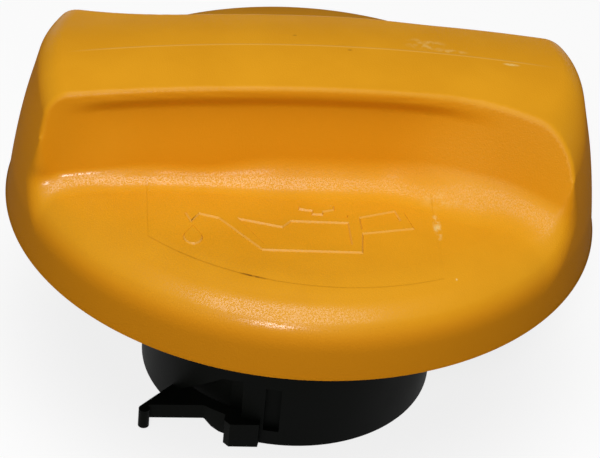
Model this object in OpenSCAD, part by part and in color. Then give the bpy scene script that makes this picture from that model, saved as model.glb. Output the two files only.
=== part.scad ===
// Oil filler cap with a moulded grip bar, a bayonet insert and a rubber seal.
// The origin is on the cap's axis, in the plane of the seal's lower face. +Z points out of the engine.
// The grip bar runs along X. The cover and the insert repeat after half a turn about Z.

/* [Cover] */
// Outer diameter at the skirt's lower edge
cover_d = 74; // [60:0.5:90]
// How far the skirt reaches below the seal's lower face
skirt_drop = 2; // [1:0.5:6]
// Height of the straight skirt wall, from its lower edge
skirt_wall_h = 4.2; // [3:0.1:6]
// Radius of the roll-over between the skirt and the margin
roll_r = 3.3; // [2:0.1:5]
// Slope of the domed margin outside the finger floors, in degrees
margin_slope = 15; // [8:1:20]
// Height of the finger floors above the skirt's lower edge
floor_h = 8.6; // [7.6:0.1:11]
// Wall thickness of the moulding
wall_t = 2.4; // [1.6:0.1:3]

/* [Grip bar] */
// Height of the grip bar's crest above the skirt's lower edge
grip_h = 22.2; // [18:0.1:28]
// Width of the grip bar across its upper edges
grip_w = 17.2; // [14:0.1:22]
// Radius of the crown along the bar
crown_long_r = 250; // [150:5:400]
// Radius of the crown across the bar
crown_cross_r = 34; // [24:1:60]
// Lean of the bar's end walls, in degrees
end_lean = 14.5; // [8:0.5:18]
// Radius of the corner between an end wall and the crown
end_corner_r = 4; // [2:0.5:6]
// Lean of the finger walls, in degrees
grip_draft = 9; // [4:1:14]
// Radius of the fillet between a finger wall and its floor
foot_r = 3; // [1:0.5:4]
// Radius of the sweep that widens each finger wall toward one end
sweep_r = 60; // [58:1:80]
// Place along the bar where that sweep starts
sweep_x = 8; // [0:0.5:12]
// Slope at which the fillet runs out, in degrees
ramp_slope = 6; // [3:1:12]
// Radius of the brow that carries the finger wall's foot down over the margin
brow_r = 19; // [12:1:30]
// Slope of that brow at its lower end, in degrees
brow_slope = 44; // [35:1:60]
// Depth of the hollow under the finger wall's upper edge
undercut = 0.7; // [0:0.1:1.2]
// Height of that hollow
hollow_h = 4; // [3:0.5:5]
// Height of the crest above that hollow
hollow_top = 1.4; // [1:0.1:2]

/* [Underside] */
// Outer diameter of the insert's flange
flange_d = 54; // [50:0.5:58]
// Thickness of the insert's flange
flange_t = 2; // [1.5:0.1:3]
// Wall thickness of the socket ring that holds the flange
ring_t = 1.9; // [1.2:0.1:2.5]
// How far the socket ring reaches below the flange
ring_drop = 1.8; // [1.2:0.1:2]
// Number of ribs between the socket ring and the skirt
rib_count = 16; // [8:2:24]
// Thickness of the ribs
rib_t = 1.4; // [1:0.1:2]
// Number of snap beads under the flange
bead_count = 6; // [4:1:8]
// Arc that each snap bead covers, in degrees
bead_arc = 20; // [12:1:30]
// How far a snap bead reaches in under the flange
bead_in = 0.7; // [0.4:0.1:1]
// Height of a snap bead's upright inner face
bead_land = 0.4; // [0.3:0.1:0.8]
// Width of the keys that turn the insert with the cover
key_w = 3; // [2:0.5:5]
// Depth of the keys
key_depth = 1.6; // [1:0.1:2]
// Number of cross ribs inside the grip bar
bar_rib_count = 4; // [2:1:5]
// Spacing of those cross ribs
bar_rib_pitch = 13; // [9:0.5:14]
// How far the cross ribs stay above the insert's flange
bar_rib_lift = 1.2; // [0.8:0.1:3]

/* [Insert] */
// Outer diameter of the spigot under its flange
spigot_d = 39.4; // [34:0.1:44]
// Draft of the spigot's outside, in degrees
spigot_draft = 1.4; // [0.5:0.1:2.5]
// Wall thickness of the spigot at its rim
spigot_t = 1.9; // [1.4:0.1:2.6]
// Length of the spigot below the skirt's lower edge
spigot_len = 25.5; // [18:0.5:32]
// Height of the bayonet openings above the spigot's rim, at their high end
window_h = 9.4; // [7:0.1:12]
// Height of the bayonet openings at their low end
window_low_h = 0.8; // [0.4:0.1:1.1]
// Arc from the front to the high end of the left opening, in degrees
window_high = 21.5; // [18:0.5:26]
// Arc from the front to the low end of the left opening, in degrees
window_low = 60; // [52:1:64]
// Arc that the opening's level part covers at its high end, in degrees
window_level = 8; // [4:1:12]
// How much the level part falls over that arc
window_fall = 0.6; // [0.3:0.1:1]
// Arc from the front to the wall's rounded-off lower corner, in degrees
heel = 30; // [28:0.5:31]
// Arc that the rounded-off corner covers, in degrees
heel_arc = 7; // [5:0.5:8]
// Gap between the spigot's wall and the pocket wall behind each opening
pocket_gap = 0.8; // [0.5:0.1:1.2]
// Thickness of the pocket wall
pocket_t = 1.4; // [1:0.1:2]
// Height of a cam finger's lower face above the spigot's rim
finger_lift = 1.2; // [1:0.1:3]
// Height of a cam finger
finger_h = 2.1; // [1.6:0.1:3]
// How far a cam finger stands out of the spigot's wall at its root
cam_out = 0.15; // [0.1:0.05:0.3]
// How far a cam finger's inner face stays clear of the spigot's bore
cam_in = 0.3; // [0.2:0.05:0.5]
// Arc from the front to the place where the cam leaves the spigot's round, in degrees
cam_from = 37; // [33:1:42]
// How far the cam's tip reaches out to the side, from the axis
cam_reach = 19; // [17:0.1:21]
// Radius of the hook at the cam's tip
hook_r = 0.7; // [0.5:0.05:1]
// Height of the hook's lower end above the spigot's rim
hook_lift = 0.5; // [0.1:0.1:0.9]
// Distance of the stop block's front face from the axis
stop_y = 19.3; // [19.1:0.05:20]
// Height of the stop block above the spigot's rim
stop_h = 3.6; // [3.4:0.1:5]
// Arc from the front to the stop block's right edge, in degrees
stop_from = 13.8; // [13:0.1:15]
// Arc from the front to the stop block's left corner, in degrees
stop_to = 23.5; // [22:0.1:25]
// Size of the bevel at that corner
stop_bevel = 0.8; // [0.4:0.1:1.2]
// Arc from the front to the groove beside the stop block, in degrees
groove_at = 9.6; // [6:0.1:10]
// Width of that groove
groove_w = 2; // [1:0.1:2.4]
// Depth of that groove
groove_deep = 0.8; // [0.4:0.1:1.2]
// Height of the groove's lower end above the spigot's rim
groove_lift = 2.2; // [1:0.1:4]
// Height of that groove
groove_h = 6.8; // [4:0.1:9]

/* [Seal] */
// Outer diameter of the seal ring
seal_d = 50.8; // [46:0.1:52]
// Thickness of the seal ring
seal_t = 2.2; // [1.5:0.1:3]
// Size of the bevel at the seal's outer edge
lip_bevel = 0.8; // [0.4:0.1:1.2]
// Size of the bevel at the seal's bore
bore_bevel = 0.4; // [0.2:0.1:0.8]
// Clearance between parts that slide together
fit_gap = 0.25; // [0.1:0.05:0.4]

/* [Hidden] */
$fn = 120;
rim_r = cover_d / 2;
spigot_r = spigot_d / 2;
skirt_z = -skirt_drop;
spigot_z = skirt_z - spigot_len;
tip_r = spigot_r - (seal_t - spigot_z) * tan(spigot_draft);
bore_r = tip_r - spigot_t;
flange_z = seal_t;
ceiling_z = flange_z + flange_t;
floor_z = skirt_z + floor_h;
crest_z = skirt_z + grip_h;
skirt_top_r = rim_r - skirt_wall_h * tan(1.5);
roll_z = skirt_z + skirt_wall_h;
flange_r = flange_d / 2;
ring_r = flange_r + fit_gap;
ring_z = flange_z - ring_drop;
skirt_in_r = rim_r - wall_t;
reach = cover_d;

// Points on an arc about [x, y], from one angle to another
function arc(x, y, r, from, to, n) =
    [for (i = [0:n]) [x + r * cos(from + (to - from) * i / n), y + r * sin(from + (to - from) * i / n)]];

// Point of the spigot's plan at an arc from the front, counted to the left
function plan_point(r, left) = [-r * sin(left), -r * cos(left)];

// Repeats its children after half a turn about the axis
module both_sides() {
    children();
    rotate([0, 0, 180]) children();
}

// Outline of the low part of the cover: skirt, roll-over, sloping margin and flat floor
module low_profile() {
    margin_r = skirt_top_r - roll_r * (1 - sin(margin_slope));
    margin_z = roll_z + roll_r * cos(margin_slope);
    flat_r = margin_r - (floor_z - margin_z) / tan(margin_slope);
    polygon(concat(
        [[0, skirt_z], [rim_r, skirt_z]],
        arc(skirt_top_r - roll_r, roll_z, roll_r, 0, 90 - margin_slope, 6),
        [[flat_r, floor_z], [0, floor_z]]
    ));
}

// Outline of the grip bar's ends: leaning wall and rounded upper corner, taken in by an inset
module end_profile(inset = 0) {
    corner_z = crest_z - pow(rim_r * 0.8, 2) / (2 * crown_long_r) - end_corner_r - inset;
    lean_in = (corner_z - roll_z) * tan(end_lean);
    corner_x = skirt_top_r - lean_in - end_corner_r - inset;
    polygon(concat(
        [[0, skirt_z], [rim_r - inset, skirt_z], [skirt_top_r - inset, roll_z]],
        arc(corner_x, corner_z, end_corner_r, end_lean, 90, 6),
        [[0, corner_z + end_corner_r + 10]]
    ));
}

// Solid under the crown, which is rounded along the bar and more tightly across it
module crown(inset = 0) {
    top_r = crown_long_r - inset;
    side_r = crown_cross_r - inset;
    translate([0, 0, crest_z - crown_long_r])
        rotate([90, 0, 0])
            rotate([0, 0, 80])
                rotate_extrude(angle = 20, $fn = 288)
                    intersection() {
                        translate([top_r - side_r, 0]) circle(r = side_r, $fn = 96);
                        translate([top_r - grip_h - 4, -rim_r]) square([grip_h + 10, cover_d]);
                    }
}

// Section of the room in front of a finger wall: distances from the bar's middle run from base along dir
module finger_section(base, dir, far) {
    top_z = crest_z + 2;
    wall_x = grip_w / 2;
    foot_x = wall_x + (crest_z - floor_z) * tan(grip_draft);
    fillet_x = foot_x + foot_r * (1 - sin(grip_draft)) / cos(grip_draft);
    ramp_x = fillet_x - foot_r * sin(ramp_slope);
    ramp_z = floor_z + foot_r * (1 - cos(ramp_slope));
    brow_x = ramp_x - brow_r * sin(ramp_slope);
    section = concat(
        [[wall_x, top_z], [wall_x, crest_z - hollow_top]],
        [for (part = [0.25:0.25:1]) [
            wall_x - undercut * sin(180 * part) + part * hollow_h * tan(grip_draft),
            crest_z - hollow_top - part * hollow_h
        ]],
        arc(fillet_x, floor_z + foot_r, foot_r, 180 + grip_draft, 270 - ramp_slope, 6),
        arc(brow_x, ramp_z - brow_r * cos(ramp_slope), brow_r, 90 - ramp_slope, 90 - brow_slope, 6),
        [
            [brow_x + brow_r * sin(brow_slope), skirt_z - 1],
            [far, skirt_z - 1],
            [far, top_z]
        ]
    );
    polygon([for (p = section) [base + dir * p[0], p[1]]]);
}

// Room taken out in front of the bar: straight to the left, swept forward to the right
module finger_room() {
    centre_y = -grip_w / 2 - sweep_r;
    translate([sweep_x, 0, 0])
        rotate([90, 0, -90])
            linear_extrude(height = reach) finger_section(0, 1, reach);
    translate([sweep_x, centre_y, 0])
        rotate([0, 0, 10])
            rotate_extrude(angle = 80.5, $fn = 108)
                finger_section(-centre_y, -1, sweep_r + grip_w / 2 - 1);
}

// Outer form of the cover: low disc and grip bar
module cover_outer() {
    rotate_extrude($fn = 144) low_profile();
    difference() {
        intersection() {
            rotate_extrude($fn = 144) end_profile();
            crown();
        }
        both_sides() finger_room();
    }
}

// Hollow under the cover: the disc's room, and the slot that runs up into the bar
module cover_hollow() {
    slot_w = grip_w - 2 * wall_t - 2 * undercut;
    translate([0, 0, skirt_z - 1]) cylinder(r = skirt_in_r, h = ceiling_z - skirt_z + 1);
    intersection() {
        rotate_extrude() end_profile(wall_t);
        crown(wall_t);
        translate([-rim_r, -slot_w / 2, skirt_z - 1]) cube([cover_d, slot_w, grip_h + 2]);
    }
}

// Ring that holds the insert's flange, with its snap beads and keys
module socket_ring() {
    difference() {
        translate([0, 0, ring_z]) cylinder(r = ring_r + ring_t, h = ceiling_z - ring_z + 2);
        translate([0, 0, ring_z - 1]) cylinder(r = ring_r, h = ceiling_z - ring_z + 4);
    }
    for (i = [0:bead_count - 1])
        rotate([0, 0, i * 360 / bead_count + (90 - bead_arc) / 2])
            rotate_extrude(angle = bead_arc)
                polygon([
                    [ring_r + ring_t / 2, flange_z],
                    [flange_r - bead_in, flange_z],
                    [flange_r - bead_in, flange_z - bead_land],
                    [ring_r, ring_z + 0.5],
                    [ring_r + ring_t / 2, ring_z + 0.5]
                ]);
    for (a = [45:90:315])
        rotate([0, 0, a])
            translate([flange_r - key_depth, -key_w / 2, flange_z])
                cube([key_depth + ring_t, key_w, flange_t]);
}

// Ribs between the socket ring and the skirt, and across the bar's hollow
module cover_ribs() {
    rib_z = ring_z + 0.4;
    for (i = [0:rib_count - 1])
        rotate([0, 0, (i + 0.5) * 360 / rib_count])
            translate([ring_r + ring_t / 2, -rib_t / 2, rib_z])
                cube([skirt_in_r - ring_r, rib_t, ceiling_z - rib_z + 0.5]);
    for (i = [0:bar_rib_count - 1])
        translate([
            (i - (bar_rib_count - 1) / 2) * bar_rib_pitch - rib_t / 2,
            -grip_w / 2 + wall_t / 2,
            ceiling_z + bar_rib_lift
        ])
            cube([rib_t, grip_w - wall_t, crest_z - 1.2 * wall_t - ceiling_z - bar_rib_lift]);
}

// The yellow moulding
module cap_cover() {
    color("Goldenrod") {
        difference() {
            cover_outer();
            cover_hollow();
        }
        socket_ring();
        cover_ribs();
    }
}

// Opening in the spigot's wall: slanted above the cam finger, and open at the rim below it
module window() {
    mid = (window_high + window_low) / 2;
    function along(left) = tip_r * (mid - left) * PI / 180;
    finger_mid = finger_lift + finger_h / 2;
    rotate([0, 0, -mid])
        translate([0, -bore_r + 0.4, spigot_z])
            rotate([90, 0, 0])
                linear_extrude(height = spigot_t + 4)
                    polygon([
                        [along(window_low), -1],
                        [along(window_low), window_low_h],
                        [along(window_high + window_level), window_h - window_fall],
                        [along(window_high), window_h],
                        [along(window_high), finger_mid],
                        [along(heel + heel_arc), finger_mid],
                        [along(heel + heel_arc), finger_lift],
                        [along(heel + heel_arc / 2), finger_lift * 0.3],
                        [along(heel), 0],
                        [along(heel), -1]
                    ]);
}

// Pocket wall behind an opening, joined to the spigot above it
module pocket() {
    outer_r = bore_r - pocket_gap;
    shelf_z = spigot_z + window_h + 0.6;
    overlap = 5;
    rotate([0, 0, 270 - window_low - overlap])
        rotate_extrude(angle = window_low - window_high + 2 * overlap)
            polygon([
                [outer_r - pocket_t, spigot_z],
                [outer_r, spigot_z],
                [outer_r, shelf_z],
                [bore_r + spigot_t / 2, shelf_z],
                [bore_r + spigot_t / 2, shelf_z + pocket_t],
                [outer_r - pocket_t, shelf_z + pocket_t]
            ]);
}

// Springy cam finger: part of the spigot's wall that runs out into a wedge with a hooked tip
module cam_finger() {
    root = window_high - 2;
    cam_to = window_low - 6;
    front_y = -tip_r * cos(cam_from) - 0.2;
    tip_y = front_y - hook_r;
    steps = 10;
    outer = [for (i = [0:steps]) plan_point(tip_r + cam_out, root + (cam_from - root) * i / steps)];
    inner = [for (i = [0:steps]) plan_point(bore_r + cam_in, cam_to + (root - cam_to) * i / steps)];
    wedge = [
        [-cam_reach + hook_r, front_y],
        [-cam_reach, tip_y],
        [-cam_reach - hook_r * 0.7, tip_y + hook_r * 0.7],
        plan_point(tip_r - 0.2, cam_to)
    ];
    translate([0, 0, spigot_z + finger_lift])
        linear_extrude(height = finger_h) polygon(concat(outer, wedge, inner));
    translate([-cam_reach, tip_y + 0.1, spigot_z + hook_lift])
        cylinder(r = hook_r, h = finger_lift + finger_h - hook_lift - 0.1, $fn = 32);
}

// Stop block at the cam finger's root, which meets the neck's lug
module stop_block() {
    left_x = -stop_y * tan(stop_to);
    translate([0, 0, spigot_z])
        linear_extrude(height = stop_h)
            polygon([
                plan_point(tip_r - spigot_t / 2, stop_from),
                [-stop_y * tan(stop_from), -stop_y],
                [left_x, -stop_y],
                [left_x - stop_bevel * 0.8, -stop_y + stop_bevel],
                plan_point(tip_r - spigot_t / 2, heel - 1)
            ]);
}

// Narrow upright groove beside the stop block
module groove() {
    rotate([0, 0, -groove_at])
        translate([-groove_w / 2, -tip_r - 1, spigot_z + groove_lift])
            cube([groove_w, groove_deep + 1, groove_h]);
}

// The black bayonet moulding: flange, spigot, openings, pocket walls, cam fingers and stop blocks
module bayonet_insert() {
    color("DimGray") {
        difference() {
            translate([0, 0, flange_z]) cylinder(r = flange_r, h = flange_t);
            for (a = [45:90:315])
                rotate([0, 0, a])
                    translate([flange_r - key_depth - fit_gap, -key_w / 2 - fit_gap, flange_z - 1])
                        cube([key_depth + 2, key_w + 2 * fit_gap, flange_t + 2]);
        }
        difference() {
            union() {
                translate([0, 0, spigot_z]) cylinder(r1 = tip_r, r2 = spigot_r, h = flange_z - spigot_z);
                translate([0, 0, flange_z - 0.4]) cylinder(r = spigot_r, h = 0.8);
            }
            translate([0, 0, spigot_z - 1]) cylinder(r = bore_r, h = flange_z - spigot_z + 1);
            both_sides() {
                window();
                groove();
            }
        }
        both_sides() {
            pocket();
            cam_finger();
            stop_block();
        }
    }
}

// The black rubber seal, bevelled at its lower edges
module seal_ring() {
    color("Black")
        rotate_extrude()
            polygon([
                [spigot_r + fit_gap, seal_t],
                [spigot_r + fit_gap, bore_bevel],
                [spigot_r + fit_gap + bore_bevel, 0],
                [seal_d / 2 - lip_bevel, 0],
                [seal_d / 2, lip_bevel],
                [seal_d / 2, seal_t]
            ]);
}

cap_cover();
bayonet_insert();
seal_ring();
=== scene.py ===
# Oil filler cap: a yellow moulded cover with a grip bar, a black bayonet insert and a rubber seal.
import math
import bmesh
import bpy
import numpy as np
from mathutils import Matrix, Vector


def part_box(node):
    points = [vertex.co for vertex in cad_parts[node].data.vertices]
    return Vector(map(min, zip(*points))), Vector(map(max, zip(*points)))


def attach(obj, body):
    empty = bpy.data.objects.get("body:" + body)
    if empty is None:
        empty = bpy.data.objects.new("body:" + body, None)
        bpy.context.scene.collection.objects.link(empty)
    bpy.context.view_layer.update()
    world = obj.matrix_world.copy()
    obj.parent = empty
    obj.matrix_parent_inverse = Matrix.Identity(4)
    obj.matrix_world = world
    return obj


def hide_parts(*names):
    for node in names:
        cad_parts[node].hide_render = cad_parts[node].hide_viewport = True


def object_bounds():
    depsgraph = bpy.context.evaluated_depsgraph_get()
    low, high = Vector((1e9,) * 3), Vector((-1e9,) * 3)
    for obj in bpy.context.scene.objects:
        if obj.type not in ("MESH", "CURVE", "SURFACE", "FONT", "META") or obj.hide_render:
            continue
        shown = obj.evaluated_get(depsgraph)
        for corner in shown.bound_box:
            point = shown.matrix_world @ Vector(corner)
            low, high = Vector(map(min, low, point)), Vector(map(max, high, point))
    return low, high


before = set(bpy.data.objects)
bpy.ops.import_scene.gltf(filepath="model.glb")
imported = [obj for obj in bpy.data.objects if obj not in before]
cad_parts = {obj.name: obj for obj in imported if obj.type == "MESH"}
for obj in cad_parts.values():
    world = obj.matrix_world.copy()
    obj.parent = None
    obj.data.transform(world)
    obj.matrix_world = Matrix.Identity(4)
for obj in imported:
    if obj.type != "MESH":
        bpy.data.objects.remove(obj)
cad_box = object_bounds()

# Camera
# The photograph looks down on the front of the cap from about four cap widths away,
# a little to the left of its middle, and is turned so that the cap's right side sits lower.
MM = 0.001
PHOTO_W, PHOTO_H = 600, 458
SENSOR = 36.0
FOCAL_PX = 2375.3
CAM_AZ = math.radians(-7.05)
CAM_EL = math.radians(34.7)
CAM_ROLL = math.radians(5.62)
CAM_DIST = 300.0 * MM
AIM = Vector((0, 0, -2.0 * MM))
AIM_PX = (300.6, 194.0)


def direction(azimuth, elevation):
    flat = math.cos(elevation)
    return Vector((math.sin(azimuth) * flat, -math.cos(azimuth) * flat, math.sin(elevation)))


def camera_axes():
    back = direction(CAM_AZ, CAM_EL)
    right = Vector((math.cos(CAM_AZ), math.sin(CAM_AZ), 0.0))
    up = back.cross(right)
    turned_right = right * math.cos(CAM_ROLL) + up * math.sin(CAM_ROLL)
    turned_up = up * math.cos(CAM_ROLL) - right * math.sin(CAM_ROLL)
    return back, turned_right, turned_up


def add_camera():
    back, right, up = camera_axes()
    eye = AIM + back * CAM_DIST
    across = (PHOTO_W / 2 - AIM_PX[0]) / FOCAL_PX
    down = (PHOTO_H / 2 - AIM_PX[1]) / FOCAL_PX
    new_back = (back - right * across + up * down).normalized()
    new_right = (right - new_back * right.dot(new_back)).normalized()
    new_up = new_back.cross(new_right)
    data = bpy.data.cameras.new("camera")
    data.sensor_width = SENSOR
    data.lens = FOCAL_PX / PHOTO_W * SENSOR
    data.clip_start = 0.01
    data.clip_end = 20
    camera = bpy.data.objects.new("camera", data)
    bpy.context.collection.objects.link(camera)
    turn = Matrix((new_right, new_up, new_back)).transposed().to_4x4()
    camera.matrix_world = Matrix.Translation(eye) @ turn
    bpy.context.scene.camera = camera


add_camera()
bpy.context.scene.view_settings.view_transform = "Standard"

# Light
# A soft light in front gives the long highlights on the roll-over and the fillets, a broad one
# above lights the floors and the crown, and a weak world fills the shaded sides.
WORLD_STRENGTH = 0.09


def area_light(name, azimuth, elevation, distance, size, power):
    away = direction(math.radians(azimuth), math.radians(elevation))
    data = bpy.data.lights.new(name, "AREA")
    data.shape = "DISK"
    data.size = size
    data.energy = power
    lamp = bpy.data.objects.new(name, data)
    bpy.context.collection.objects.link(lamp)
    lamp.location = away * distance
    lamp.rotation_euler = away.to_track_quat("Z", "Y").to_euler()


def add_world():
    world = bpy.data.worlds.new("studio")
    bpy.context.scene.world = world
    world.use_nodes = True
    background = world.node_tree.nodes["Background"]
    background.inputs["Color"].default_value = (1, 1, 1, 1)
    background.inputs["Strength"].default_value = WORLD_STRENGTH


area_light("key", azimuth=-12, elevation=36, distance=1.0, size=0.2, power=3.5)
area_light("top", azimuth=-8, elevation=72, distance=1.0, size=0.8, power=7.1)
add_world()

# Studio floor
# A plain sheet under the spigot's rim. The camera and mirror-like rays see it white, with a
# weak shadow of the cap, and it sends only a little light back up at the object.
SHEET_HALF = 3.0
SHEET_SHADED = 0.2
WHITE = (1.0, 1.0, 1.0, 1.0)
SHEET_GREY = (0.12, 0.12, 0.12, 1.0)


class Finish:
    """Adds the nodes of one material, so that a mask is written much as a sum is."""

    def __init__(self, tree):
        self.nodes = tree.nodes
        self.links = tree.links

    def add(self, kind, **settings):
        node = self.nodes.new("ShaderNode" + kind)
        for name, value in settings.items():
            setattr(node, name, value)
        return node

    def feed(self, socket, value):
        if isinstance(value, (int, float, tuple)):
            socket.default_value = value
        else:
            self.links.new(value, socket)

    def do(self, operation, *values):
        node = self.add("Math", operation=operation)
        for socket, value in zip(node.inputs, values):
            self.feed(socket, value)
        return node.outputs[0]

    def times(self, first, *others):
        for other in others:
            first = self.do("MULTIPLY", first, other)
        return first

    def largest(self, first, *others):
        for other in others:
            first = self.do("MAXIMUM", first, other)
        return first

    def soft(self, source, low, high, to_low=0.0, to_high=1.0):
        """Eases from to_low to to_high while the source goes from low to high."""
        node = self.add("MapRange", interpolation_type="SMOOTHSTEP")
        for label, value in (("Value", source), ("From Min", low), ("From Max", high),
                             ("To Min", to_low), ("To Max", to_high)):
            self.feed(node.inputs[label], value)
        return node.outputs["Result"]

    def mix(self, amount, first, second):
        node = self.add("Mix", data_type="RGBA")
        self.feed(node.inputs["Factor"], amount)
        self.feed(node.inputs[6], first)
        self.feed(node.inputs[7], second)
        return node.outputs[2]

    def noise(self, at, scale, detail):
        node = self.add("TexNoise")
        for label, value in (("Vector", at), ("Scale", scale), ("Detail", detail)):
            self.feed(node.inputs[label], value)
        return node.outputs["Fac"]

    def bump(self, height, distance):
        node = self.add("Bump")
        for label, value in (("Height", height), ("Strength", 1.0), ("Distance", distance)):
            self.feed(node.inputs[label], value)
        return node


def new_material(name, kind=Finish):
    mat = bpy.data.materials.new(name)
    mat.use_nodes = True
    return mat, kind(mat.node_tree)


def sheet_white():
    mat, finish = new_material("floor_white")
    finish.nodes.clear()
    path = finish.add("LightPath").outputs
    seen = finish.do("ADD", path["Is Glossy Ray"], path["Is Transmission Ray"])
    seen = finish.do("MINIMUM", finish.do("ADD", path["Is Camera Ray"], seen), 1.0)
    white = finish.add("Emission")
    finish.feed(white.inputs["Color"], WHITE)
    finish.feed(white.inputs["Strength"], 1.0)
    shaded = finish.add("BsdfDiffuse")
    finish.feed(shaded.inputs["Color"], WHITE)
    grey = finish.add("BsdfDiffuse")
    finish.feed(grey.inputs["Color"], SHEET_GREY)
    pale = finish.add("MixShader")
    both = finish.add("MixShader")
    out = finish.add("OutputMaterial")
    for mixer, amount, first, second in ((pale, SHEET_SHADED, white, shaded), (both, seen, grey, pale)):
        finish.feed(mixer.inputs[0], amount)
        finish.feed(mixer.inputs[1], first.outputs[0])
        finish.feed(mixer.inputs[2], second.outputs[0])
    finish.feed(out.inputs["Surface"], both.outputs[0])
    return mat


def add_floor():
    bm = bmesh.new()
    bmesh.ops.create_grid(bm, x_segments=1, y_segments=1, size=SHEET_HALF)
    bmesh.ops.translate(bm, verts=bm.verts, vec=(0, 0, cad_box[0][2]))
    mesh = bpy.data.meshes.new("floor")
    bm.to_mesh(mesh)
    bm.free()
    mesh.materials.append(sheet_white())
    floor = bpy.data.objects.new("floor", mesh)
    bpy.context.collection.objects.link(floor)


add_floor()

# Cover
# One injection moulding in yellow-orange plastic, with a skirt, a domed margin, a finger floor on
# each side and a tall grip bar. It is hollow from below, and a ring of snap beads in it holds
# the insert's flange.
cover_low, cover_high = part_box("cap_cover")
RIM_R = round(cover_high[0] / MM, 2)
CREST = round(cover_high[2] / MM, 2)
SKIRT = round(cover_low[2] / MM, 2)

# Outer wall: an upright skirt, a roll-over, and above it a wall that leans in at the bar's ends
RIM_LAND = 0.5
SKIRT_DRAFT = math.radians(1.5)
ROLL_Z = 2.2
ROLL_R = 3.3
SKIRT_TOP_R = RIM_R - (ROLL_Z - SKIRT) * math.tan(SKIRT_DRAFT)
LEAN = math.radians(14.5)
WALL_BEND_R = 2.0

# Finger floors, and the domed margin that falls from them to the roll-over
FINGER_FLOOR = 6.6
FLOOR_R = 0.45
MARGIN = math.radians(15.0)

# Grip bar: a crown that is round along and across, and finger walls that sweep out at one end
LONG_R = 250.0
CROSS_R = 34.0
CROWN_FLAT = 6.5
GRIP_HALF = 8.7
DRAFT = math.radians(9.0)
SWEEP_R = 33.0
SWEEP_X = 14.5

# The hollow under the bar's upper edge: where it deepens along the bar and down the wall
BROW_DROP = 1.2
UNDERCUT = 0.7
HOLLOW_LEFT = (-31.0, -24.0)
HOLLOW_RIGHT = (23.0, 13.0)
HOLLOW_OPENS = (0.8, 2.7)
HOLLOW_CLOSES = (2.7, 10.7)

# How far the finger wall's foot leans out, the fillet at its foot, and the roll-over's fading
# with height. Each change is an amount, and the two places between which it comes in.
TOE = -0.04
TOE_ALONG = [(0.28, 8, 20), (0.10, 22, 31), (0.02, -6, -14), (0.07, -18, -27), (0.2, -30, -35)]
FOOT_R = 3.7
FOOT_ALONG = [(-1.3, -4, -14), (0.8, 8, 18)]
ROLL_UP = [(-1.4, 6, 9), (-1.88, 7.5, 12.5)]

# Edges of the bar: sharp above the fingers, softer low on the wall and at the right of the back
EDGE_R = 0.55
EDGE_BACK, EDGE_BACK_X = 1.1, (4.0, 16.0)
EDGE_LOW, EDGE_LOW_DEPTH = 1.8, (-3.0, -0.5)
CORNER_Z = (7.5, 12.5)
CORNER_R = 2.3
CORNER_SWEPT, CORNER_SWEPT_X, CORNER_SWEPT_Y = 1.9, (10.0, 18.0), (-2.0, -11.0)

# The skin's mesh: its cell, how often it is evened, and how deep the solid's outer faces reach
SKIN_STEP = 0.42
SKIN_ROUNDS = 3
WEAK_SLOPE = 0.05
INNER_DEPTH = 1.9
RIM_SLACK = 0.01
SAME_PLACE = 0.002 * MM
ORDER_WAY = Vector((1.0, 7.3, 53.1))


def round_max(a, b, radius):
    """The part inside both surfaces, with the edge between them rounded off."""
    both = np.hypot(np.maximum(radius + a, 0), np.maximum(radius + b, 0))
    return np.minimum(-radius, np.maximum(a, b)) + both


def round_min(a, b, radius):
    """The part inside either surface, with a fillet in the corner between them."""
    return -round_max(-a, -b, radius)


def ease(value, start, end):
    """Goes smoothly from 0 at the start to 1 at the end."""
    t = np.clip((value - start) / (end - start), 0, 1)
    return t * t * (3 - 2 * t)


def varied(base, place, changes):
    """A value that changes along the part."""
    return base + sum(amount * ease(place, start, end) for amount, start, end in changes)


def outer_wall(r, z):
    skirt = (r - RIM_R + (z - SKIRT) * math.tan(SKIRT_DRAFT)) * math.cos(SKIRT_DRAFT)
    leaning = (r - SKIRT_TOP_R + (z - ROLL_Z) * math.tan(LEAN)) * math.cos(LEAN)
    return round_max(skirt, leaning, WALL_BEND_R)


def low_top(r, z):
    margin_r = SKIRT_TOP_R - ROLL_R * (1 - math.sin(MARGIN))
    margin_z = ROLL_Z + ROLL_R * math.cos(MARGIN)
    margin = (r - margin_r) * math.sin(MARGIN) + (z - margin_z) * math.cos(MARGIN)
    return round_max(z - FINGER_FLOOR, margin, FLOOR_R)


def crown_face(x, y, z):
    ring = np.hypot(x, z - CREST + LONG_R) - (LONG_R - CROSS_R)
    flat_z = math.sqrt(CROSS_R ** 2 - CROWN_FLAT ** 2)
    straight = (np.abs(y) * CROWN_FLAT + ring * flat_z) / CROSS_R - CROSS_R
    return np.where(np.abs(y) * flat_z < ring * CROWN_FLAT, np.hypot(ring, y) - CROSS_R, straight)


def finger_wall(x, y, z):
    """The front wall: straight, swept back at its right end, and leaning out towards its foot."""
    centre_y = -GRIP_HALF - SWEEP_R
    swept = -centre_y - np.hypot(x - SWEEP_X, y - centre_y)
    ahead = np.where(x < SWEEP_X, -y, swept)
    below = np.clip(CREST - BROW_DROP - x * x / (2 * LONG_R) - z, 0, None)
    depth = UNDERCUT * ease(x, *HOLLOW_LEFT) * ease(x, *HOLLOW_RIGHT)
    hollow = depth * ease(below, *HOLLOW_OPENS) * (1 - ease(below, *HOLLOW_CLOSES))
    toe = varied(TOE, x, TOE_ALONG)
    wall = GRIP_HALF + below * (math.tan(DRAFT) + toe) - hollow
    return (ahead - wall) * math.cos(DRAFT) / np.hypot(1, toe)


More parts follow.
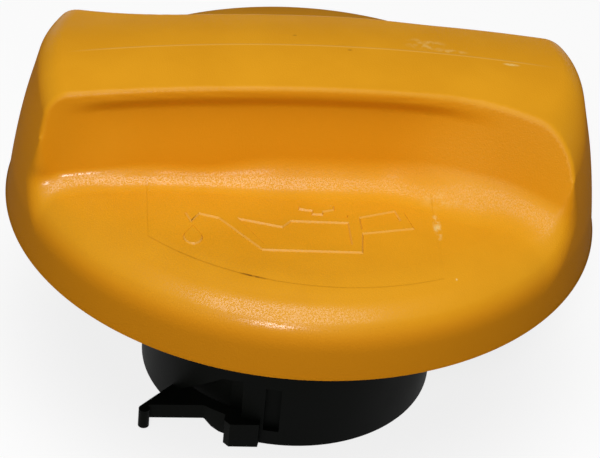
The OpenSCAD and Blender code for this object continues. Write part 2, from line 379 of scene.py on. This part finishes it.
def grip_bar(x, y, z, wall):
    """The bar between its two finger walls, and the radius of the fillet at its foot."""
    along = x * np.where(y < 0, 1, -1)
    crown = crown_face(x, y, z)
    swept = ease(y, *CORNER_SWEPT_Y) * ease(along, *CORNER_SWEPT_X)
    ends = round_max(crown, wall, CORNER_R + CORNER_SWEPT * swept)
    top_face = crown + (ends - crown) * ease(z, *CORNER_Z)
    edge = EDGE_R + EDGE_LOW * (1 - ease(top_face, *EDGE_LOW_DEPTH))
    edge = edge + np.where(y < 0, 0, EDGE_BACK * ease(x, *EDGE_BACK_X))
    fingers = np.maximum(finger_wall(x, y, z), finger_wall(-x, -y, z))
    return round_max(top_face, fingers, edge), varied(FOOT_R, along, FOOT_ALONG)


def cover_field(x, y, z):
    """Distance in millimetres to the cover's outside, made of the same surfaces as the solid."""
    r = np.hypot(x, y)
    wall = outer_wall(r, z)
    grip, foot = grip_bar(x, y, z, wall)
    top = round_min(grip, low_top(r, z), foot)
    return round_max(top, wall, varied(ROLL_R, z, ROLL_UP))


def slope(field, points, step=0.02):
    """How fast the field grows along each axis, which is also the surface's normal."""
    x, y, z = points.T
    return np.stack([
        field(x + step, y, z) - field(x - step, y, z),
        field(x, y + step, z) - field(x, y - step, z),
        field(x, y, z + step) - field(x, y, z - step),
    ], 1) / (2 * step)


def settle(field, points, rounds):
    """Moves each point along the slope until it lies on the surface."""
    for _ in range(rounds):
        grad = slope(field, points)
        steep = np.maximum((grad ** 2).sum(1), WEAK_SLOPE)
        points = points - grad * (field(*points.T) / steep)[:, None]
    return points


def surface_net(field, low, high, step):
    """One point in each cell that the surface crosses, and a quad round each edge it crosses."""
    axes = [np.arange(a, b + step, step) for a, b in zip(low, high)]
    inside = field(*np.meshgrid(*axes, indexing="ij")) < 0
    shape = [n - 1 for n in inside.shape]
    count = np.zeros(shape, int)
    for i, j, k in np.ndindex(2, 2, 2):
        count += inside[i:i + shape[0], j:j + shape[1], k:k + shape[2]]
    mixed = (count > 0) & (count < 8)
    number = np.full(shape, -1)
    number[mixed] = np.arange(mixed.sum())
    points = np.array(low) + (np.argwhere(mixed) + 0.5) * step
    quads = []
    for axis in range(3):
        first = np.take(inside, range(inside.shape[axis] - 1), axis)
        second = np.take(inside, range(1, inside.shape[axis]), axis)
        others = [a for a in range(3) if a != axis]
        crossing = np.argwhere(first != second)
        keep = np.ones(len(crossing), bool)
        for a in others:
            keep &= (crossing[:, a] > 0) & (crossing[:, a] < shape[a])
        crossing = crossing[keep]
        ring = []
        for du, dv in ((-1, -1), (0, -1), (0, 0), (-1, 0)):
            cell = crossing.copy()
            cell[:, others[0]] += du
            cell[:, others[1]] += dv
            ring.append(number[tuple(cell.T)])
        ring = np.stack(ring, 1)
        leaving = first[tuple(crossing.T)]
        turned = ~leaving if axis != 1 else leaving
        ring[turned] = ring[turned][:, ::-1]
        quads.append(ring)
    return points, np.concatenate(quads)


def spread(points, quads):
    """Each point's place in the middle of the points that it shares an edge with."""
    total = np.zeros_like(points)
    hits = np.zeros(len(points))
    for a, b in ((0, 1), (1, 2), (2, 3), (3, 0)):
        for p, q in ((a, b), (b, a)):
            np.add.at(total, quads[:, p], points[quads[:, q]])
            np.add.at(hits, quads[:, p], 1)
    return total / hits[:, None]


def cover_skin():
    low = (-RIM_R - 1, -RIM_R - 1, SKIRT)
    high = (RIM_R + 1, RIM_R + 1, CREST + 1)
    points, quads = surface_net(cover_field, low, high, SKIN_STEP)
    points = settle(cover_field, points, rounds=5)
    for _ in range(SKIN_ROUNDS):
        edge = points[:, 2] < SKIRT + SKIN_STEP
        evened = 0.5 * points + 0.5 * spread(points, quads)
        points = settle(cover_field, np.where(edge[:, None], points, evened), rounds=3)
    mesh = bpy.data.meshes.new("cover_skin")
    mesh.from_pydata((points * MM).tolist(), [], quads.tolist())
    mesh.validate()
    return mesh


def skin_to_rim(bm):
    """Carries the skin down to the rim, and inwards to where the solid's underside begins."""
    border = [e for e in bm.edges if e.is_boundary]
    for radius in (RIM_R, RIM_R - RIM_LAND):
        made = bmesh.ops.extrude_edge_only(bm, edges=border)["geom"]
        border = [g for g in made if isinstance(g, bmesh.types.BMEdge)]
        for v in {v for e in border for v in e.verts}:
            r = math.hypot(v.co.x, v.co.y)
            v.co.x *= radius * MM / r
            v.co.y *= radius * MM / r
            v.co.z = SKIRT * MM
    # The extrusion makes its faces in no fixed order, so they are all put in one
    bm.faces.sort(key=lambda f: f.calc_center_median().dot(ORDER_WAY))


def underside():
    """The solid's own mesh without its outer faces, which the skin stands for."""
    bm = bmesh.new()
    bm.from_mesh(bpy.data.objects["cap_cover"].data)
    bmesh.ops.remove_doubles(bm, verts=bm.verts, dist=SAME_PLACE)
    bm.verts.index_update()
    corners = np.array([v.co[:] for v in bm.verts]) / MM
    depth = cover_field(*corners.T)
    rim_z = (SKIRT + RIM_SLACK) * MM
    outer = [
        f for f in bm.faces
        if f.calc_center_median().z > rim_z and max(depth[v.index] for v in f.verts) > -INNER_DEPTH
    ]
    bmesh.ops.delete(bm, geom=outer, context="FACES")
    mesh = bpy.data.meshes.new("cover_under")
    bm.to_mesh(mesh)
    bm.free()
    return mesh


# The cover's raised oil can
# The common symbol for engine oil, with its lid, its handle and a drop at the spout. It is
# moulded with the cover and stands about 0.2 mm proud of the front finger floor.
CAN = [
    (-15.65, -16.98), (-14.68, -15.81), (-13.85, -15.88), (-11.38, -16.17), (-8.93, -17.07),
    (-6.47, -17.67), (-4.83, -17.9), (-4.19, -17.16), (-3.22, -16.81), (3.54, -17.11),
    (3.71, -16.49), (6.81, -15.42), (9.75, -14.9), (10.75, -15.76), (11.7, -19.17),
    (5.4, -20.45), (5.06, -24.22), (-6.82, -24.14), (-11.68, -18.01), (-13.78, -17.3),
    (-14.77, -18.85), (-14.99, -18.76),
]
CAN_INSIDE = [
    (-8.92, -18.21), (-4.1, -19.58), (-3.02, -18.3), (3.56, -18.39), (3.66, -22.43), (-6.4, -22.75),
]
CAN_HANDLE = [(5.33, -17.23), (9.42, -15.82), (9.85, -17.44), (5.39, -19.25)]
LID = [
    (-2.03, -14.92), (2.43, -14.71), (2.34, -15.74), (0.99, -16.21), (0.94, -16.83),
    (-0.6, -16.79), (-0.55, -16.08), (-2.08, -15.74),
]
DROP_TIP = (-14.66, -19.15)
DROP_X, DROP_Y, DROP_W, DROP_H = -14.74, -21.75, 1.22, 1.5
PLATE_SUNK, PLATE_EDGE, PLATE_RISE = 0.05, 0.24, 0.27


def drop_outline():
    turns = [math.radians(a) for a in range(140, 401, 20)]
    return [DROP_TIP] + [(DROP_X + DROP_W * math.cos(a), DROP_Y + DROP_H * math.sin(a)) for a in turns]


def raised_plate(bm, *outlines):
    """A plate with slanted edges. The first outline is its rim, and the others are its holes."""
    edges = []
    for outline in outlines:
        verts = [bm.verts.new((x * MM, y * MM, (FINGER_FLOOR - PLATE_SUNK) * MM)) for x, y in outline]
        edges += [bm.edges.new((verts[i - 1], v)) for i, v in enumerate(verts)]
    made = bmesh.ops.triangle_fill(bm, use_beauty=True, edges=edges, normal=(0, 0, 1))["geom"]
    faces = [g for g in made if isinstance(g, bmesh.types.BMFace)]
    for f in faces:
        f.normal_update()
        if f.normal.z < 0:
            f.normal_flip()
    bmesh.ops.inset_region(
        bm, faces=faces, use_boundary=True, use_even_offset=True,
        thickness=PLATE_EDGE * MM, depth=PLATE_RISE * MM,
    )


# The cover's yellow plastic
# A deep yellow-orange with the fine spark-eroded texture of the mould, a shallow panel round the
# symbol and a parting line on the crown. It is scuffed, and dirt lies in the panel's edge. Painted
# into its colour are shade on the upright sides, the skirt and the back rim, a shade line round
# the panel, and a highlight on the can's front edges.
YELLOW_DARK = (0.73, 0.315, 0.009, 1)
YELLOW_LIGHT = (0.77, 0.340, 0.011, 1)
# Painted shade: a deeper orange for the upright sides and a darker one for the skirt
UPRIGHT_SHADE_ORANGE = (0.735, 0.275, 0.005, 1)
SKIRT_SHADE_ORANGE = (0.66, 0.245, 0.004, 1)
# Cream for real scuffs and the parting line, and for the painted highlight on the can's edges
SCUFF_AND_HIGHLIGHT_CREAM = (0.86, 0.62, 0.22, 1)
# Brown for real dirt and specks, and for the painted shade behind the bar and round the panel
DIRT_AND_SHADE_BROWN = (0.16, 0.05, 0.004, 1)
MOTTLE_SCALE = 90.0
YELLOW_GRAIN, YELLOW_GRAIN_DEPTH = 5200.0, 0.03 * MM
YELLOW_SPECULAR = 0.12
FACET_SCALE = 6000.0
COAT_ROUGHNESS = 0.23
WEAR_SCALE = 900.0

# The panel: its two sides, the arc of its front edge, its depth, and the thin painted shade line in the step
# round it
PANEL_LEFT, PANEL_RIGHT = -19.95, 14.15
PANEL_X, PANEL_Y, PANEL_R = 2.0, 1.2, 31.6
PANEL_EDGE = 0.13
PANEL_DEPTH = 0.06 * MM
PANEL_SHADE_LINE, PANEL_SHADE_DARK = (0.16, 0.02), 0.03
ON_FLOOR_Z = (7.7, 7.1)

# The parting line: a low, slightly bowed ridge along the crown
PARTING_Y = -0.4
PARTING_BOW = 0.0005
PARTING_ENDS = (31.0, 24.0)
PARTING_LOWEST = 15.0
PARTING_WIDTH = (0.22, 0.03)
PARTING_RISE = 0.02 * MM
PARTING_PALE = 0.2

# Where the raised can lies, so that only its slanted front edges get the painted highlight
SYMBOL_X, SYMBOL_HALF, SYMBOL_BACK = -2.5, 15.0, -14.4
SYMBOL_Z = (FINGER_FLOOR + 0.02, FINGER_FLOOR + 0.08)
SYMBOL_HIGHLIGHT = 0.2

# A scuff is a middle, a half size along each axis and an amount. A speck is a middle and a size.
SCUFFS = [
    ((13.6, 1.4, 19.6), (3.2, 1.8, 2.0), 0.36),
    ((16.7, 0.2, 19.4), (2.6, 0.6, 2.0), 0.34),
    ((24.0, -1.4, 19.0), (1.3, 0.35, 2.0), 0.7),
    ((14.35, -18.4, FINGER_FLOOR), (0.62, 3.4, 1.5), 0.8),
    ((-30.9, -16.8, FINGER_FLOOR), (1.0, 2.2, 1.5), 0.35),
    ((16.0, -13.6, FINGER_FLOOR), (4.0, 2.0, 2.0), 0.2),
    ((1.94, -14.73, 6.9), (0.26, 0.3, 0.5), 1.6),
    ((21.2, -26.75, 6.4), (0.2, 0.3, 0.8), 1.6),
    ((15.6, -27.95, 6.5), (0.2, 0.3, 0.8), 1.6),
]
SPECKS = [
    ((-2.37, 1.9, 20.1), 0.26),
    ((4.13, -1.1, 20.0), 0.28),
    ((5.1, -9.9, 11.2), 0.24),
    ((16.1, -11.6, 6.9), 0.5),
]
SPECK_SHAPE, SPECK_AMOUNT = (1.4, 1.0, 3.0), 0.32

# Dirt in the front edge of the panel, thickest in one spot, and painted shade on the back rim behind the bar
DIRT_WIDTH = (0.2, 0.04)
DIRT_LEFT, DIRT_RIGHT = (-18.5, -16.0), (-1.5, -8.0)
DIRT_THIN, DIRT_THICK = 0.12, 0.7
DIRT_SPOT, DIRT_SPOT_SIZE = (-8.0, -28.6, FINGER_FLOOR), (2.0, 1.6, 3.0)
BACK_SHADE_Y, BACK_SHADE_Z, BACK_SHADE_AMOUNT = (25.0, 31.0), (12.0, 9.0), 0.4

# Gloss and colour over the cover: heights and places between which each one changes
SKIRT_DULL_Z = (4.4, 2.6)
BACK_DULL_Y, BACK_DULL_Z = (8.0, 12.0), (12.0, 8.0)
DULL_ROUGHER = 0.35
SPARKLE_Z, SPARKLE_HIGH = (9.5, 13.0), 0.12
SPARKLE_X, SPARKLE_RIGHT = (-14.0, 14.0), 0.32
SPARKLE_TILT_X, SPARKLE_TILT = (2.0, 14.0), 0.16
SPARKLE_FACING = (0.44, 0.6)
# Painted shade: the heights between which the skirt's darker orange comes in
SKIRT_SHADE_Z = (4.0, 2.0)


def moulded_grain():
    group = bpy.data.node_groups.new("moulded_grain", "ShaderNodeTree")
    for way, labels in (("INPUT", ("Scale", "Mottle Scale")), ("OUTPUT", ("Height", "Mottle"))):
        for label in labels:
            group.interface.new_socket(label, in_out=way, socket_type="NodeSocketFloat")
    enter = group.nodes.new("NodeGroupInput").outputs
    leave = group.nodes.new("NodeGroupOutput").inputs
    finish = Finish(group)
    at = finish.add("TexCoord").outputs["Object"]
    finish.feed(leave["Height"], finish.noise(at, enter["Scale"], 2.0))
    finish.feed(leave["Mottle"], finish.noise(at, enter["Mottle Scale"], 3.0))
    return group


GRAIN = moulded_grain()


def add_grain(finish, dark, light, scale):
    """A colour that varies slowly between two shades, the variation itself, and the grain."""
    group = finish.add("Group", node_tree=GRAIN)
    finish.feed(group.inputs["Scale"], scale)
    finish.feed(group.inputs["Mottle Scale"], MOTTLE_SCALE)
    mottle, height = group.outputs["Mottle"], group.outputs["Height"]
    return finish.mix(finish.soft(mottle, 0.35, 0.65), dark, light), mottle, height


class CoverFinish(Finish):
    """The cover's masks, with places in millimetres and the direction that a face looks in."""

    def __init__(self, tree):
        super().__init__(tree)
        place = self.add("TexCoord").outputs
        self.object_at = place["Object"]
        scaled = self.add("VectorMath", operation="SCALE")
        self.feed(scaled.inputs["Scale"], 1 / MM)
        self.feed(scaled.inputs[0], self.object_at)
        self.at = scaled.outputs[0]
        self.x, self.y, self.z = self.split(self.at)
        self.nx, self.ny, self.nz = self.split(place["Normal"])
        self.wear = self.noise(self.object_at, WEAR_SCALE, 3.0)
        self.facets = self.noise(self.object_at, FACET_SCALE, 1.0)
        self.on_floor = self.times(self.soft(self.z, *ON_FLOOR_Z), self.do("LESS_THAN", self.y, 0.0))

    def split(self, vector):
        node = self.add("SeparateXYZ")
        self.feed(node.inputs[0], vector)
        return node.outputs

    def far(self, value, middle):
        """How far a value is from a middle, on either side."""
        return self.do("ABSOLUTE", self.do("SUBTRACT", value, middle))

    def spot(self, centre, size):
        """A soft blot that fades from a third of its half size outwards."""
        inside = self.add("Mapping", vector_type="TEXTURE")
        for label, value in (("Vector", self.at), ("Location", centre), ("Scale", size)):
            self.feed(inside.inputs[label], value)
        length = self.add("VectorMath", operation="LENGTH")
        self.feed(length.inputs[0], inside.outputs[0])
        return self.soft(length.outputs["Value"], 1.0, 0.3)

    def panel_edges(self):
        """How far a place lies outside the panel, and outside the arc of its front edge."""
        left = self.do("SUBTRACT", PANEL_LEFT, self.x)
        right = self.do("SUBTRACT", self.x, PANEL_RIGHT)
        dx = self.do("SUBTRACT", self.x, PANEL_X)
        dy = self.do("SUBTRACT", self.y, PANEL_Y)
        reach = self.do("SQRT", self.do("ADD", self.times(dx, dx), self.times(dy, dy)))
        arc = self.do("SUBTRACT", reach, PANEL_R)
        return self.largest(left, right, arc), arc

    def parting_line(self):
        bow = self.times(self.x, self.x, PARTING_BOW)
        line = self.far(self.do("ADD", self.y, bow), PARTING_Y)
        along = self.soft(self.far(self.x, 0.0), *PARTING_ENDS)
        on_crown = self.do("GREATER_THAN", self.z, PARTING_LOWEST)
        return self.times(self.soft(line, *PARTING_WIDTH), along, on_crown)

    def painted_symbol_highlight(self):
        """A painted highlight on the slanted front edges of the raised can."""
        raised = self.soft(self.z, *SYMBOL_Z)
        ahead = self.do("LESS_THAN", self.y, SYMBOL_BACK)
        beside = self.do("LESS_THAN", self.far(self.x, SYMBOL_X), SYMBOL_HALF)
        slanted = self.times(self.soft(self.nz, 0.97, 0.9), self.soft(self.ny, 0.3, -0.2))
        return self.times(raised, ahead, beside, slanted)

    # Real scuffs and the parting line, with the painted highlight on the can's edges
    def pale_marks_and_highlight(self, parting):
        pale = self.largest(self.times(parting, PARTING_PALE), self.times(self.painted_symbol_highlight(), SYMBOL_HIGHLIGHT))
        patchy = self.soft(self.wear, 0.42, 0.6)
        for centre, size, amount in SCUFFS:
            pale = self.largest(pale, self.times(self.spot(centre, size), patchy, amount))
        return self.do("MINIMUM", pale, 1.0)

    def dirt_and_shade(self, outside, arc):
        in_edge = self.soft(self.far(arc, 0.0), *DIRT_WIDTH)
        stretch = self.times(self.soft(self.x, *DIRT_LEFT), self.soft(self.x, *DIRT_RIGHT))
        thick = self.times(self.spot(DIRT_SPOT, DIRT_SPOT_SIZE), DIRT_THICK)
        strength = self.do("ADD", thick, DIRT_THIN)
        strength = self.times(strength, self.soft(self.wear, 0.35, 0.55, 0.1, 1.0))
        dark = self.times(in_edge, stretch, strength, self.on_floor)
        # Painted shade: the back rim behind the bar is darkened
        back_shade = self.times(self.soft(self.y, *BACK_SHADE_Y), self.soft(self.z, *BACK_SHADE_Z), BACK_SHADE_AMOUNT)
        # Painted shade: a thin dark line in the step round the panel
        panel_shade = self.times(self.soft(self.far(outside, 0.0), *PANEL_SHADE_LINE), self.on_floor)
        panel_shade = self.times(panel_shade, PANEL_SHADE_DARK)
        dark = self.largest(dark, back_shade, panel_shade)
        for centre, size in SPECKS:
            speck = self.spot(centre, tuple(size * part for part in SPECK_SHAPE))
            dark = self.largest(dark, self.times(speck, SPECK_AMOUNT))
        return self.do("MINIMUM", dark, 1.0)

    def dull(self):
        """The end walls, the skirt and the back are duller than the rest."""
        ends = self.soft(self.far(self.nx, 0.0), 0.45, 0.85)
        skirt = self.soft(self.z, *SKIRT_DULL_Z)
        back = self.times(self.soft(self.y, *BACK_DULL_Y), self.soft(self.z, *BACK_DULL_Z))
        return self.largest(ends, skirt, back)

    def sparkle(self, dull):
        """Tiny glossy facets of the texture, which show on the low fillets that face up."""
        tilt = self.soft(self.x, *SPARKLE_TILT_X, 0.0, SPARKLE_TILT)
        facing_up = self.soft(self.do("SUBTRACT", self.nz, tilt), *SPARKLE_FACING)
        low_down = self.soft(self.z, *SPARKLE_Z, 1.0, SPARKLE_HIGH)
        leftward = self.soft(self.x, *SPARKLE_X, 1.0, SPARKLE_RIGHT)
        facets = self.soft(self.facets, 0.36, 0.64)
        keen = self.do("SUBTRACT", 1.0, dull)
        return self.times(facets, keen, facing_up, low_down, leftward)

    def roughness(self, dull):
        plain = self.soft(self.facets, 0.3, 0.7, 0.47, 0.37)
        return self.do("ADD", plain, self.times(dull, DULL_ROUGHER))

    def painted_side_shade(self, colour):
        """Painted shade: the upright sides and the skirt get a deeper, darker orange than the top."""
        upright = self.soft(self.far(self.nz, 0.0), 0.85, 0.2)
        colour = self.mix(upright, colour, UPRIGHT_SHADE_ORANGE)
        return self.mix(self.soft(self.z, *SKIRT_SHADE_Z), colour, SKIRT_SHADE_ORANGE)


def yellow_plastic():
    mat, finish = new_material("yellow_plastic", CoverFinish)
    shader = finish.nodes["Principled BSDF"].inputs
    colour, _, grain = add_grain(finish, YELLOW_DARK, YELLOW_LIGHT, YELLOW_GRAIN)
    parting = finish.parting_line()
    outside, arc = finish.panel_edges()
    colour = finish.mix(finish.pale_marks_and_highlight(parting), finish.painted_side_shade(colour), SCUFF_AND_HIGHLIGHT_CREAM)
    colour = finish.mix(finish.dirt_and_shade(outside, arc), colour, DIRT_AND_SHADE_BROWN)
    finish.feed(shader["Base Color"], colour)
    dull = finish.dull()
    finish.feed(shader["Roughness"], finish.roughness(dull))
    finish.feed(shader["Coat Weight"], finish.sparkle(dull))
    finish.feed(shader["Coat Roughness"], COAT_ROUGHNESS)
    finish.feed(shader["Specular IOR Level"], YELLOW_SPECULAR)
    panel = finish.times(finish.soft(outside, PANEL_EDGE, -PANEL_EDGE), finish.on_floor)
    height = finish.do("SUBTRACT", finish.times(parting, PARTING_RISE), finish.times(panel, PANEL_DEPTH))
    steps = finish.bump(height, 1.0)
    texture = finish.bump(grain, YELLOW_GRAIN_DEPTH)
    finish.feed(texture.inputs["Normal"], steps.outputs["Normal"])
    finish.feed(shader["Normal"], texture.outputs["Normal"])
    return mat


def build_cover():
    bm = bmesh.new()
    bm.from_mesh(cover_skin())
    skin_to_rim(bm)
    skin_faces = len(bm.faces)
    bm.from_mesh(underside())
    raised_plate(bm, CAN, CAN_INSIDE, CAN_HANDLE)
    raised_plate(bm, LID)
    raised_plate(bm, drop_outline())
    for i, f in enumerate(bm.faces):
        f.smooth = i < skin_faces
    mesh = bpy.data.meshes.new("cover_moulding")
    bm.to_mesh(mesh)
    bm.free()
    normals = slope(cover_field, np.array([v.co[:] for v in mesh.vertices]) / MM)
    normals /= np.maximum(np.linalg.norm(normals, axis=1), 1e-6)[:, None]
    loops = []
    for poly in mesh.polygons:
        for v in poly.vertices:
            loops.append(tuple(normals[v]) if poly.index < skin_faces else tuple(poly.normal))
    mesh.normals_split_custom_set(loops)
    mesh.materials.append(yellow_plastic())
    cover = bpy.data.objects.new("cover_moulding", mesh)
    bpy.context.collection.objects.link(cover)
    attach(cover, "root")
    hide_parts("cap_cover")


build_cover()

# Insert
# The black moulded-plastic bayonet snaps into the cover with its flange and locks in the filler
# neck with two cam fingers. It keeps its solid, with a dark finish that shines very little.
BLACK_DARK = (0.0015, 0.002, 0.0015, 1)
BLACK_LIGHT = (0.003, 0.0035, 0.0025, 1)
DARK_GRAIN_DEPTH = 0.01 * MM
ROUGHNESS_SPREAD = 0.04


def dark_moulding(name, dark, light, roughness, grain_scale, specular):
    mat, finish = new_material(name)
    shader = finish.nodes["Principled BSDF"].inputs
    colour, mottle, grain = add_grain(finish, dark, light, grain_scale)
    finish.feed(shader["Base Color"], colour)
    low, high = roughness - ROUGHNESS_SPREAD, roughness + ROUGHNESS_SPREAD
    finish.feed(shader["Roughness"], finish.soft(mottle, 0.3, 0.7, low, high))
    finish.feed(shader["Specular IOR Level"], specular)
    finish.feed(shader["Normal"], finish.bump(grain, DARK_GRAIN_DEPTH).outputs["Normal"])
    return mat


def dress(node, mat):
    data = bpy.data.objects[node].data
    data.materials.clear()
    data.materials.append(mat)


dress("bayonet_insert", dark_moulding("black_plastic", BLACK_DARK, BLACK_LIGHT, 0.6, 2600.0, 0.06))

# Seal
# The black rubber ring is stretched over the spigot and lies under the insert's flange, where
# it presses on the filler neck's rim. It keeps its solid, with a duller and greyer finish.
RUBBER_DARK = (0.010, 0.010, 0.010, 1)
RUBBER_LIGHT = (0.016, 0.016, 0.016, 1)

dress("seal_ring", dark_moulding("seal_rubber", RUBBER_DARK, RUBBER_LIGHT, 0.7, 1800.0, 0.2))
